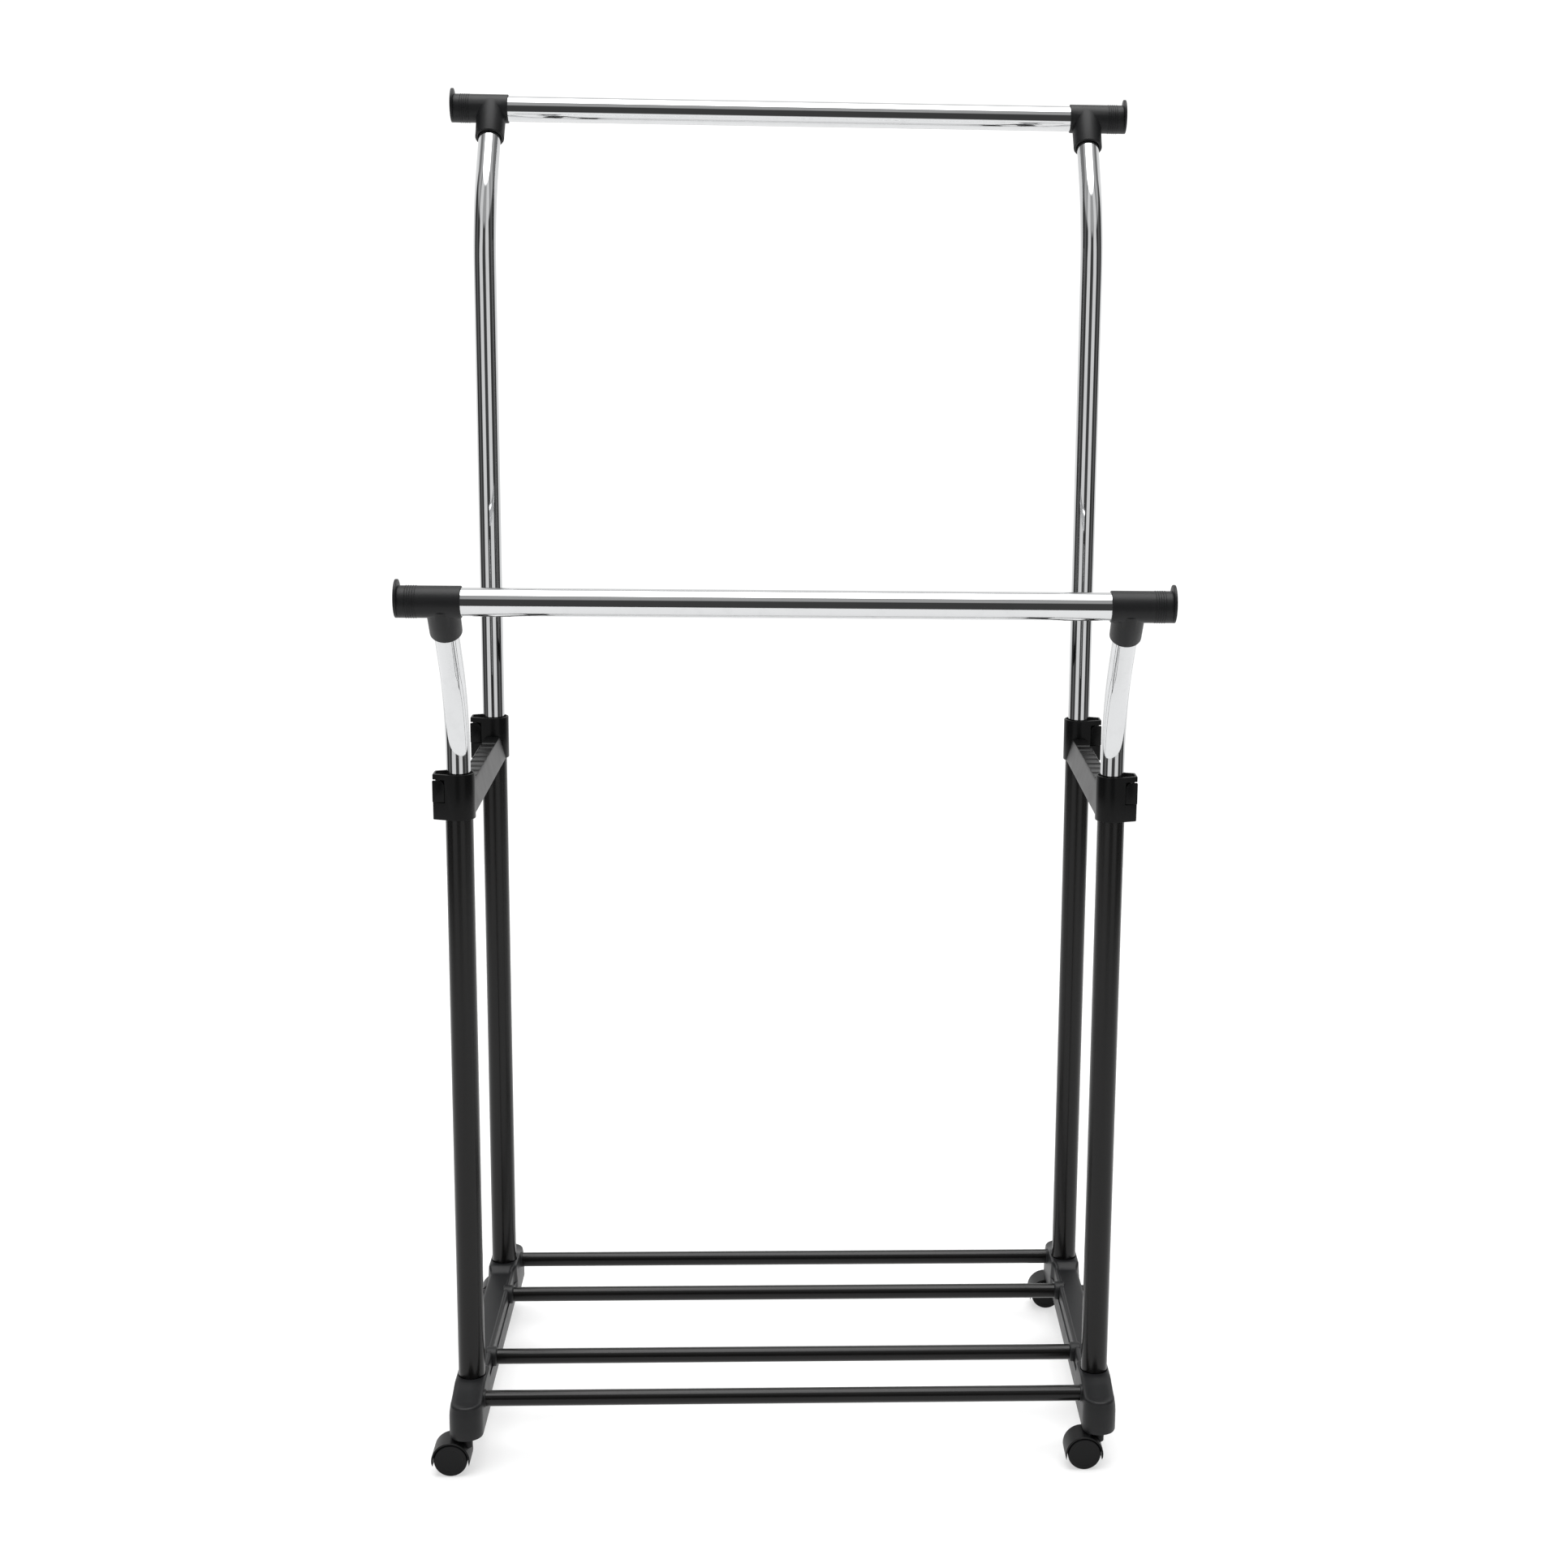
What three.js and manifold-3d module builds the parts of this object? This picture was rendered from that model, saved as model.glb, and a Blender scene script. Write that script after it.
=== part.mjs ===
// Rolling clothes rack with two rails: two moulded base rails on four twin-wheel casters, four lower tubes joined by
// four shelf rods and two clamp brackets, and two bent chrome frames that telescope up out of the lower tubes.
// Millimetres, +Z up, front towards -Y, floor at Z = 0, origin under the middle of the rack.
import * as THREE from "three";
import { mergeVertices } from "three/addons/utils/BufferGeometryUtils.js";
import Module from "manifold-3d";

// ---- driving dimensions ----
const GAP = 0.3; // clearance left between two pieces that touch
const LEG_X = 382; // centre of each leg from the middle, across
const LEG_Y = 173; // centre of each leg from the middle, front to back

const BASE = { half: 251, bottom: 46, crest: 88, rim: 97, beamTop: 90, width: 40.5, rimWidth: 36.4, beamIn: 17, beamOut: 16 };
const ROD = { r: 9.5, z: 81, y: [-207, -93, 93, 207], halfLength: 374 };
const LOWER = { r: 16, bore: 14.8, bottom: 50, top: 822.7 };
const COLLAR = { bottom: 795, top: 849, r: 19, earX: 29, earHalf: 11.5, step: 823 };
const LEVER = { pivotX: 22.5, pivotZ: 835, bottom: 816.5, half: 14.8, inner: 11.3, plateIn: 26.5, plateOut: 28.8, eye: 7.2 };
const BAR = { top: 825, topHalf: 9.5, bottomHalf: 16, recess: 1.2, pitch: 27, count: 9, bandLength: 13 };

const UPRIGHT = { r: 14, bore: 12.6, bendR: 195, lean: 37, offset: 103, drop: 202, straight: 693, end: 20 };
const RAIL = { r: 16, bore: 14.6, halfLength: 428 };
const FRONT_RAIL_Z = 1064; // front frame at its lowest stop
const BACK_RAIL_Z = 1620; // back frame drawn right out
const TEE = { r: 18, innerX: 360.5, flangeX: 429.5, endX: 433, flangeR: 21.5, flangeRise: 3.5, legR: 18.3, legLength: 47 };
const BUSH = { head: 14.4, headLength: 8, spigot: 12.3, spigotLength: 18 };

const CASTER = { y: 231, trail: 18, axleZ: 20, stemR: 3, wheelR: 20, wheelIn: 5.5, wheelOut: 17, hoodR: 23, hoodIn: 21, hoodHalf: 17.5, web: 5, barrelR: 7, top: 45.4 };

// ---- finishes ----
const FINISH = {
  charcoal: { color: 0x33363a, roughness: 0.62, metalness: 0 },
  black: { color: 0x17181a, roughness: 0.5, metalness: 0 },
  coated: { color: 0x161617, roughness: 0.34, metalness: 0.15 },
  chrome: { color: 0xd9dcde, roughness: 0.07, metalness: 1 },
  steel: { color: 0x9a9da0, roughness: 0.35, metalness: 1 },
  wheel: { color: 0x2a2b2d, roughness: 0.55, metalness: 0 },
};

// ---- solids ----
const wasm = await Module();
wasm.setup();
const X = new THREE.Vector3(1, 0, 0);
const Y = new THREE.Vector3(0, 1, 0);
const Z = new THREE.Vector3(0, 0, 1);

// A closed geometry as a manifold-3d solid with its faces outwards.
function solid(geometry) {
  const loose = geometry.index ? geometry.toNonIndexed() : geometry;
  const bare = new THREE.BufferGeometry().setAttribute("position", loose.getAttribute("position"));
  const merged = mergeVertices(bare, 1e-4);
  const index = merged.index.array;
  const kept = [];
  for (let i = 0; i < index.length; i += 3) {
    const [a, b, c] = [index[i], index[i + 1], index[i + 2]];
    if (a !== b && b !== c && c !== a) kept.push([a, b, c]);
  }
  const make = (faces) =>
    new wasm.Manifold(
      new wasm.Mesh({ numProp: 3, vertProperties: merged.attributes.position.array, triVerts: new Uint32Array(faces.flat()) }),
    );
  const made = make(kept);
  return made.volume() > 0 ? made : make(kept.map(([a, b, c]) => [a, c, b]));
}

function mesh(name, body, finish) {
  const made = body.getMesh();
  const geometry = new THREE.BufferGeometry()
    .setAttribute("position", new THREE.BufferAttribute(new Float32Array(made.vertProperties), 3))
    .setIndex(new THREE.BufferAttribute(new Uint32Array(made.triVerts), 1))
    .toNonIndexed();
  geometry.computeVertexNormals();
  const out = new THREE.Mesh(geometry, new THREE.MeshStandardMaterial(FINISH[finish]));
  out.name = name;
  return out;
}

// A cylinder of radius r from point a to point b.
function pin(r, a, b, segments = 20) {
  const axis = b.clone().sub(a);
  const g = new THREE.CylinderGeometry(r, r, axis.length(), segments);
  g.applyQuaternion(new THREE.Quaternion().setFromUnitVectors(Y, axis.clone().normalize()));
  return solid(g.translate(...a.clone().add(b).multiplyScalar(0.5).toArray()));
}
const at = (x, y, z) => new THREE.Vector3(x, y, z);
const pinX = (r, x0, x1, y, z, n) => pin(r, at(x0, y, z), at(x1, y, z), n);
const pinY = (r, y0, y1, x, z, n) => pin(r, at(x, y0, z), at(x, y1, z), n);
const pinZ = (r, z0, z1, x, y, n) => pin(r, at(x, y, z0), at(x, y, z1), n);

function block(x0, x1, y0, y1, z0, z1) {
  return solid(new THREE.BoxGeometry(x1 - x0, y1 - y0, z1 - z0).translate((x0 + x1) / 2, (y0 + y1) / 2, (z0 + z1) / 2));
}

// A flat outline, drawn on axes u and v, pushed along axis w from w0 to w1.
function prism(outline, u, v, w, w0, w1) {
  const shape = new THREE.Shape(outline.map(([a, b]) => new THREE.Vector2(a, b)));
  const g = new THREE.ExtrudeGeometry(shape, { depth: w1 - w0, bevelEnabled: false, steps: 1 }).translate(0, 0, w0);
  return solid(g.applyMatrix4(new THREE.Matrix4().makeBasis(u, v, w)));
}

// A closed profile of [radius, height] turned about Z.
function turned(profile, segments = 20) {
  return solid(new THREE.LatheGeometry(profile.map(([r, h]) => new THREE.Vector2(r, h)), segments).rotateX(Math.PI / 2));
}
const tube = (r, bore, z0, z1, n) => turned([[bore, z0], [r, z0], [r, z1], [bore, z1], [bore, z0]], n);

const arc = (cx, cy, r, from, to, steps) =>
  Array.from({ length: steps + 1 }, (_, i) => {
    const a = THREE.MathUtils.degToRad(from + ((to - from) * i) / steps);
    return [cx + r * Math.cos(a), cy + r * Math.sin(a)];
  });

// ---- base rail (right-hand one, its outside towards +X) ----
function baseRail() {
  const { half, bottom, crest, rim, beamTop, width } = BASE;
  const side = [
    [-half, bottom], [half, bottom], [half, crest - 5], [half - 1.5, crest - 1.5], [half - 6, crest], [LEG_Y + 40, crest + 3],
    [LEG_Y + 20, rim], [LEG_Y - 20, rim], [LEG_Y - 34, beamTop], [-LEG_Y + 34, beamTop], [-LEG_Y + 20, rim], [-LEG_Y - 20, rim],
    [-LEG_Y - 40, crest + 3], [-half + 6, crest], [-half + 1.5, crest - 1.5], [-half, crest - 5],
  ];
  const w = width / 2;
  const plan = [...arc(0, half - w, w, 0, 180, 14), ...arc(0, -half + w, w, 180, 360, 14)];
  const section = [[-w, bottom], [w, bottom], [w, 72], [BASE.rimWidth / 2, rim + 1], [-BASE.rimWidth / 2, rim + 1], [-w, 72]];
  let body = prism(side, Y, Z, X, -w, w)
    .intersect(prism(plan, X, Y, Z, bottom - 1, rim + 2))
    .intersect(prism(section, X, Z, Y, -half - 1, half + 1));
  const waist = LEG_Y - 24;
  body = body
    .subtract(block(-w - 1, -BASE.beamIn, -waist, waist, bottom - 1, rim + 2))
    .subtract(block(-w - 1, -BASE.beamIn + 1.5, -waist + 6, waist - 6, 74, rim + 2))
    .subtract(block(BASE.beamOut, w + 1, -waist, waist, bottom - 1, rim + 2));
  for (const y of ROD.y.slice(1, 3)) {
    body = body.add(pinX(12, -BASE.beamIn - 4.5, -8, y, ROD.z, 18)).add(pinX(7, 8, BASE.beamOut + 4, y, ROD.z, 14));
  }
  for (const y of ROD.y) body = body.subtract(pinX(ROD.r + GAP, -w - 8, ROD.halfLength - LEG_X + GAP, y, ROD.z, 18));
  for (const s of [-1, 1]) {
    body = body
      .subtract(pinZ(LOWER.r + GAP, LOWER.bottom - GAP, rim + 5, 0, s * LEG_Y, 24))
      .subtract(pinZ(CASTER.stemR + GAP, bottom - 5, bottom + 32, 0, s * CASTER.y, 12));
  }
  return body;
}

// ---- bracket (right-hand one): two clamp collars and the bar between them ----
function bracket() {
  const { bottom, top, r, earX, earHalf, step } = COLLAR;
  const reach = Math.hypot(earX, earHalf);
  const touch = THREE.MathUtils.radToDeg(Math.atan2(earHalf, earX) + Math.acos(r / reach));
  const pear = [[earX, earHalf], ...arc(0, 0, r, touch, 360 - touch, 16), [earX, -earHalf]];
  const barEnd = LEG_Y - 10;
  const bar = [[-BAR.bottomHalf, bottom], [BAR.bottomHalf, bottom], [BAR.bottomHalf - 1, bottom + 8], [BAR.topHalf, BAR.top], [-BAR.topHalf, BAR.top], [-BAR.bottomHalf + 1, bottom + 8]];
  let body = prism(bar, X, Z, Y, -barEnd, barEnd);
  for (let i = 0; i < BAR.count; i++) {
    const y = (i - (BAR.count - 1) / 2) * BAR.pitch;
    body = body.subtract(block(-BAR.topHalf + 2, BAR.topHalf - 2, y - BAR.bandLength / 2, y + BAR.bandLength / 2, BAR.top - BAR.recess, BAR.top + 1));
  }
  const notchTop = LEVER.pivotZ + 8;
  const notchBottom = LEVER.bottom - 2.5;
  for (const s of [-1, 1]) {
    const y = s * LEG_Y;
    let collar = prism(pear.map(([a, b]) => [a, b + y]), X, Y, Z, bottom, top);
    for (const q of [-1, 1]) {
      const [y0, y1] = [y + q * (LEVER.inner - GAP), y + q * 22].sort((a, b) => a - b);
      collar = collar.subtract(block(14.5, 31, y0, y1, notchBottom, notchTop));
    }
    collar = collar
      .subtract(block(LEVER.pivotX + 1, 31, y - 13, y + 13, notchBottom, LEVER.pivotZ))
      .subtract(block(LEVER.pivotX - 2.2, 31, y - 13, y + 13, LEVER.pivotZ - 0.01, notchTop))
      .add(pinY(3.6, y - LEVER.inner + GAP, y + LEVER.inner - GAP, LEVER.pivotX, LEVER.pivotZ, 14))
      .subtract(block(20.5, 27, y - 6.5, y + 6.5, top - 4, top + 1));
    body = body.add(collar).subtract(pinY(1.9, y - 25, y + 25, LEVER.pivotX, LEVER.pivotZ, 12));
  }
  for (const s of [-1, 1]) {
    body = body
      .subtract(pinZ(LOWER.r + GAP, bottom - 1, step, 0, s * LEG_Y, 24))
      .subtract(pinZ(UPRIGHT.r + GAP, bottom - 1, top + 1, 0, s * LEG_Y, 24));
  }
  return body;
}

// ---- quick-release lever (right-hand one, about its own leg) ----
function lever() {
  const { pivotX, pivotZ, bottom, half, inner, plateIn, plateOut, eye } = LEVER;
  const cheek = [[pivotX - 6, bottom], [plateOut, bottom], [plateOut, pivotZ + 2], ...arc(pivotX, pivotZ, eye, 32, 180, 8), [pivotX - 6, pivotZ - 8]];
  return prism(cheek, X, Z, Y, inner, half)
    .add(prism(cheek, X, Z, Y, -half, -inner))
    .add(block(plateIn, plateOut, -half, half, bottom, pivotZ + 1))
    .subtract(pinY(1.9, -half - 1, half + 1, pivotX, pivotZ, 12));
}

// ---- bent upright of the back frame, about its own leg, rail axis at height railZ ----
function upright(railZ) {
  const { r, bore, bendR, lean, offset, drop, straight, end } = UPRIGHT;
  const a = THREE.MathUtils.degToRad(lean);
  const bendZ = railZ - drop;
  const stations = [{ y: 0, z: bendZ - straight, t: 0 }];
  const steps = 7;
  for (let i = 0; i <= steps; i++) {
    const t = (a * i) / steps;
    stations.push({ y: bendR * (1 - Math.cos(t)), z: bendZ + bendR * Math.sin(t), t });
  }
  stations.push({ y: offset - end * Math.sin(a), z: railZ - end * Math.cos(a), t: a });
  const sweep = (radius) => {
    const n = 14;
    const position = [];
    const point = (k, j) => {
      const s = stations[k];
      const f = (2 * Math.PI * (j % n)) / n;
      const v = radius * Math.sin(f);
      return [radius * Math.cos(f), s.y + v * Math.cos(s.t), s.z - v * Math.sin(s.t)];
    };
    const centre = (k) => [0, stations[k].y, stations[k].z];
    const last = stations.length - 1;
    for (let j = 0; j < n; j++) {
      for (let k = 0; k < last; k++) {
        position.push(...point(k, j), ...point(k, j + 1), ...point(k + 1, j + 1));
        position.push(...point(k, j), ...point(k + 1, j + 1), ...point(k + 1, j));
      }
      position.push(...centre(0), ...point(0, j + 1), ...point(0, j));
      position.push(...centre(last), ...point(last, j), ...point(last, j + 1));
    }
    return solid(new THREE.BufferGeometry().setAttribute("position", new THREE.Float32BufferAttribute(position, 3)));
  };
  // The bore runs a little past both ends, so the tube is open.
  const outer = sweep(r);
  stations[0].z -= 2;
  stations.at(-1).y += 2 * Math.sin(a);
  stations.at(-1).z += 2 * Math.cos(a);
  return outer.subtract(sweep(bore));
}

// ---- T connector of the right end of the back rail, about the rail's axis ----
function tee() {
  const a = THREE.MathUtils.degToRad(UPRIGHT.lean);
  const leg = at(0, -Math.sin(a), -Math.cos(a));
  const along = (d) => at(LEG_X, 0, 0).addScaledVector(leg, d);
  return pinX(TEE.r, TEE.innerX, TEE.flangeX + 1, 0, 0, 20)
    .add(pinX(TEE.flangeR, TEE.flangeX, TEE.endX, 0, TEE.flangeRise, 20))
    .add(pin(TEE.legR, along(0), along(TEE.legLength), 20))
    .subtract(pinX(RAIL.r + GAP, TEE.innerX - 1, RAIL.halfLength + GAP, 0, 0, 24))
    .subtract(pin(UPRIGHT.r + GAP, along(UPRIGHT.end - GAP), along(TEE.legLength + 3), 16));
}

// ---- guide bush in the lower end of an upright ----
function bush(bottomOfTube) {
  const z = bottomOfTube - GAP;
  return turned([[0, z - BUSH.headLength], [BUSH.head - 1, z - BUSH.headLength], [BUSH.head, z - BUSH.headLength + 1], [BUSH.head, z], [BUSH.spigot, z], [BUSH.spigot - 0.6, z + BUSH.spigotLength], [0, z + BUSH.spigotLength]], 16);
}

// ---- caster, its swivel axis on Z and its wheels trailing towards -X ----
function hood() {
  const { trail, axleZ, hoodR, hoodIn, hoodHalf, web, barrelR, top, stemR } = CASTER;
  const shell = [...arc(-trail, axleZ, hoodR, -18, 198, 14), ...arc(-trail, axleZ, hoodIn, 198, -18, 14)];
  const rib = [...arc(-trail, axleZ, hoodIn + 1, -6, 186, 12), ...arc(-trail, axleZ, 8, 200, 340, 4)];
  return prism(shell, X, Z, Y, -hoodHalf, hoodHalf)
    .add(prism(rib, X, Z, Y, -web, web))
    .add(pinZ(barrelR, 35.5, top, 0, 0, 16))
    .subtract(pinZ(stemR + GAP, 24, top + 1, 0, 0, 12))
    .subtract(pinY(2.3, -web - 1, web + 1, -trail, axleZ, 12));
}
const axle = () => pinY(2, -14, 14, -CASTER.trail, CASTER.axleZ, 10);
const stem = () => pinZ(CASTER.stemR, 24 + GAP, BASE.bottom + 31.5, 0, 0, 10);
function wheel(side) {
  const { wheelR: r, wheelIn, wheelOut, trail, axleZ } = CASTER;
  const profile = [[0, wheelOut], [r - 1.2, wheelOut], [r, wheelOut - 1.4], [r, wheelIn], [2.3, wheelIn], [2.3, wheelOut - 2.7], [0, wheelOut - 2.7]];
  return turned(profile, 18).rotate([-90 * side, 0, 0]).translate([-trail, 0, axleZ]);
}

// ---- the rack ----
const rack = new THREE.Group();
rack.name = "rolling_clothes_rack";
const put = (name, body, finish) => rack.add(mesh(name, body, finish));

const SIDES = [["left", -1], ["right", 1]];
const ENDS = [["front", -1], ["back", 1]];
const flip = (body, sx) => (sx < 0 ? body.mirror([1, 0, 0]) : body);

ROD.y.forEach((y, i) => put("shelf_rod_" + (i + 1), pinX(ROD.r, -ROD.halfLength, ROD.halfLength, y, ROD.z, 18), "coated"));

for (const [side, sx] of SIDES) {
  put("base_rail_" + side, flip(baseRail(), sx).translate([sx * LEG_X, 0, 0]), "charcoal");
  put("bracket_" + side, flip(bracket(), sx).translate([sx * LEG_X, 0, 0]), "black");
}

for (const [end, sy] of ENDS) {
  const railZ = sy < 0 ? FRONT_RAIL_Z : BACK_RAIL_Z;
  const railY = LEG_Y + UPRIGHT.offset;
  const toEnd = (body) => (sy < 0 ? body.mirror([0, 1, 0]) : body);
  put("hanging_rail_" + end, tube(RAIL.r, RAIL.bore, -RAIL.halfLength, RAIL.halfLength, 20).rotate([0, 90, 0]).translate([0, sy * railY, railZ]), "chrome");
  for (const [side, sx] of SIDES) {
    const tag = end + "_" + side;
    const leg = [sx * LEG_X, sy * LEG_Y, 0];
    put("lower_tube_" + tag, tube(LOWER.r, LOWER.bore, LOWER.bottom, LOWER.top, 20).translate(leg), "coated");
    put("upright_" + tag, toEnd(upright(railZ)).translate(leg), "chrome");
    put("guide_bush_" + tag, bush(railZ - UPRIGHT.drop - UPRIGHT.straight).translate(leg), "black");
    put("tee_" + tag, toEnd(flip(tee(), sx)).translate([0, sy * railY, railZ]), "charcoal");
    put("lock_lever_" + tag, flip(lever(), sx).translate(leg), "black");
    put("lock_pin_" + tag, flip(pinY(1.6, -LEVER.half, LEVER.half, LEVER.pivotX, LEVER.pivotZ, 10), sx).translate(leg), "steel");
    const foot = [sx * LEG_X, sy * CASTER.y, 0];
    put("caster_stem_" + tag, stem().translate(foot), "steel");
    put("caster_hood_" + tag, hood().translate(foot), "black");
    put("caster_axle_" + tag, axle().translate(foot), "steel");
    put("caster_wheel_a_" + tag, wheel(-1).translate(foot), "wheel");
    put("caster_wheel_b_" + tag, wheel(1).translate(foot), "wheel");
  }
}

export default rack;
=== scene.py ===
"""Rolling clothes rack with two hanging rails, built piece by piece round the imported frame."""
import math
import bmesh
import bpy
import numpy as np
from mathutils import Matrix, Vector


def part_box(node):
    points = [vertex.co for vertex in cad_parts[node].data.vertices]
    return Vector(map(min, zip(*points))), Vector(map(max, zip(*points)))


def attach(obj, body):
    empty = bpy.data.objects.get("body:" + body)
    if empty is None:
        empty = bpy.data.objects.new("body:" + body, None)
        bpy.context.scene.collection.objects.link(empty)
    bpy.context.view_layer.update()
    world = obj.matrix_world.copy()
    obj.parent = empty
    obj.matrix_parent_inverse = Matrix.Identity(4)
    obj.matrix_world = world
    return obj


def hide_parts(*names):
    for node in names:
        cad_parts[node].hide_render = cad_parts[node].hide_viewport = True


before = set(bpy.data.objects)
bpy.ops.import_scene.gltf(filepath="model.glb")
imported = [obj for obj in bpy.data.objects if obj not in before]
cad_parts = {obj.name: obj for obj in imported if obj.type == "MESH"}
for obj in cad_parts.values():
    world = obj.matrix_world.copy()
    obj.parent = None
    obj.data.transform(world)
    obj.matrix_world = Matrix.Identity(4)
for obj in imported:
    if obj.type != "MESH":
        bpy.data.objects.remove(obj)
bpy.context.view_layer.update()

bl_info = {
    "name": "Rolling clothes rack",
    "version": (1, 0, 0),
    "blender": (4, 5, 0),
    "location": "View3D > Sidebar > Rack",
    "description": "Builds a double-rail rolling clothes rack in chrome, black steel and moulded plastic",
    "category": "Add Mesh",
}

MM = 0.001
SIDES = (("left", -1), ("right", 1))
ENDS = (("front", -1), ("back", 1))
CORNERS = [(e + "_" + s, sx, sy) for e, sy in ENDS for s, sx in SIDES]


def centre(node):
    """Middle of a CAD node's box, in metres."""
    low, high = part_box(node)
    return (Vector(low) + Vector(high)) / 2


LEG_X = centre("lower_tube_front_right").x
LEG_Y = centre("lower_tube_back_right").y
RAIL_Y = centre("hanging_rail_back").y
RAIL_Z = {e: centre("hanging_rail_" + e).z for e, _ in ENDS}
CASTER_Y = centre("caster_stem_back_right").y
LEAN = math.radians(37)     # of an upright's top, outwards
BEND_DROP = 0.202           # from a rail's middle down to where the bend starts
STRAIGHT = 0.693            # length of an upright below its bend
RAIL_OUT = 0.103            # from a leg's middle out to its rail's
TEE_STOP = 0.02             # how far short of the rail's middle an upright ends
LOWER_WALL = 0.0012
ROD_WALL = 0.0010
CHROME_WALL = 0.0014


# ---------------------------------------------------------------- sizes and finishes a user may change
class RackSizes(bpy.types.PropertyGroup):
    """Sizes of the tubes and wheels"""
    lower_diameter: bpy.props.FloatProperty(
        name="Lower tube", description="Outside diameter of the black lower tubes",
        default=0.032, unit="LENGTH")
    upright_diameter: bpy.props.FloatProperty(
        name="Upright", description="Outside diameter of the chrome uprights",
        default=0.028, unit="LENGTH")
    rail_diameter: bpy.props.FloatProperty(
        name="Hanging rail", description="Outside diameter of the chrome rails",
        default=0.032, unit="LENGTH")
    rod_diameter: bpy.props.FloatProperty(
        name="Shelf rod", description="Outside diameter of the shelf rods",
        default=0.019, unit="LENGTH")
    bend_radius: bpy.props.FloatProperty(
        name="Bend radius", description="Centre-line radius of the bend in an upright",
        default=0.195, unit="LENGTH")
    sleeve_diameter: bpy.props.FloatProperty(
        name="T sleeve", description="Outside diameter of a T connector's sleeve",
        default=0.036, unit="LENGTH")
    wheel_diameter: bpy.props.FloatProperty(
        name="Wheel", description="Diameter of a caster wheel",
        default=0.040, unit="LENGTH")
    tube_sides: bpy.props.IntProperty(
        name="Tube sides", description="Facets round each tube",
        default=96, min=12, max=256)


class RackFinishes(bpy.types.PropertyGroup):
    """Colours of the materials"""
    charcoal: bpy.props.FloatVectorProperty(
        name="Moulded charcoal", description="Colour of the T connectors and base rails",
        default=(0.0075, 0.0078, 0.0084), subtype="COLOR")
    black: bpy.props.FloatVectorProperty(
        name="Moulded black", description="Colour of the brackets and levers",
        default=(0.0034, 0.0035, 0.0036), subtype="COLOR")
    coat: bpy.props.FloatVectorProperty(
        name="Powder coat", description="Colour of the coated tubes and rods",
        default=(0.0034, 0.0032, 0.0031), subtype="COLOR")
    chrome: bpy.props.FloatVectorProperty(
        name="Chrome", description="Tint of the chrome",
        default=(0.60, 0.606, 0.612), subtype="COLOR")
    wheel: bpy.props.FloatVectorProperty(
        name="Caster plastic", description="Colour of the caster wheels and hoods",
        default=(0.0046, 0.0047, 0.0049), subtype="COLOR")


# ---------------------------------------------------------------- shader maths
class Sock:
    """A value in a shader tree that can be used in Python expressions."""

    def __init__(self, shop, socket):
        self.shop, self.socket = shop, socket

    def _math(self, operation, a, b):
        return self.shop.node("ShaderNodeMath", {"operation": operation}, {0: a, 1: b})

    def __add__(self, other):
        return self._math("ADD", self, other)

    def __sub__(self, other):
        return self._math("SUBTRACT", self, other)

    def __rsub__(self, other):
        return self._math("SUBTRACT", other, self)

    def __mul__(self, other):
        return self._math("MULTIPLY", self, other)

    __radd__ = __add__
    __rmul__ = __mul__


class Shop:
    """Makes the nodes of one material, or of another node tree."""

    def __init__(self, made):
        if isinstance(made, str):
            self.material = bpy.data.materials.new(made)
            self.material.use_nodes = True
            made = self.material.node_tree
            self.shader = made.nodes["Principled BSDF"]
        self.tree = made

    def node(self, kind, settings=None, inputs=None, out=0):
        """One node: its settings first, then its inputs' values or links. Returns its output."""
        made = self.tree.nodes.new(kind)
        for key, value in (settings or {}).items():
            if key == "stops":
                ramp = made.color_ramp
                while len(ramp.elements) < len(value):
                    ramp.elements.new(0.5)
                for element, (at, grey) in zip(ramp.elements, value):
                    element.position = at
                    element.color = (grey, grey, grey, 1)
            else:
                setattr(made, key, value)
        for key, value in (inputs or {}).items():
            self.put(made.inputs[key], value)
        return Sock(self, made.outputs[out])

    def put(self, socket, value):
        if isinstance(value, Sock):
            self.tree.links.new(value.socket, socket)
        else:
            socket.default_value = value

    def set(self, **values):
        """Sets or links the main shader's sockets, by name with _ for a space."""
        for key, value in values.items():
            self.put(self.shader.inputs[key.replace("_", " ")], value)

    def place(self):
        return self.node("ShaderNodeTexCoord", out="Object")

    def noise(self, scale, detail=2.0, rough=0.5):
        """Noise over the piece's own coordinates."""
        inputs = {"Vector": self.place(), "Scale": scale, "Detail": detail, "Roughness": rough}
        return self.node("ShaderNodeTexNoise", {}, inputs, out="Fac")

    def ramp(self, factor, stops):
        """Greys along a value; each stop is (position, grey)."""
        return self.node("ShaderNodeValToRGB", {"stops": stops}, {"Fac": factor}, out="Color")

    def blend(self, mask, one, two):
        """Colour one where the mask is 0 and two where it is 1."""
        made = self.tree.nodes.new("ShaderNodeMix")
        made.data_type = "RGBA"
        self.put(made.inputs["Factor"], mask)
        for name, value in (("A", one), ("B", two)):
            for socket in made.inputs:
                if socket.name == name and socket.type == "RGBA":
                    self.put(socket, value)
        for socket in made.outputs:
            if socket.type == "RGBA":
                return Sock(self, socket)

    def bump(self, height, strength, depth):
        inputs = {"Height": height, "Strength": strength, "Distance": depth}
        return self.node("ShaderNodeBump", {}, inputs, out="Normal")


def shade(colour, factor):
    """A colour made lighter or darker, with its alpha."""
    return tuple(min(1.0, c * factor) for c in colour[:3]) + (1.0,)


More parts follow.
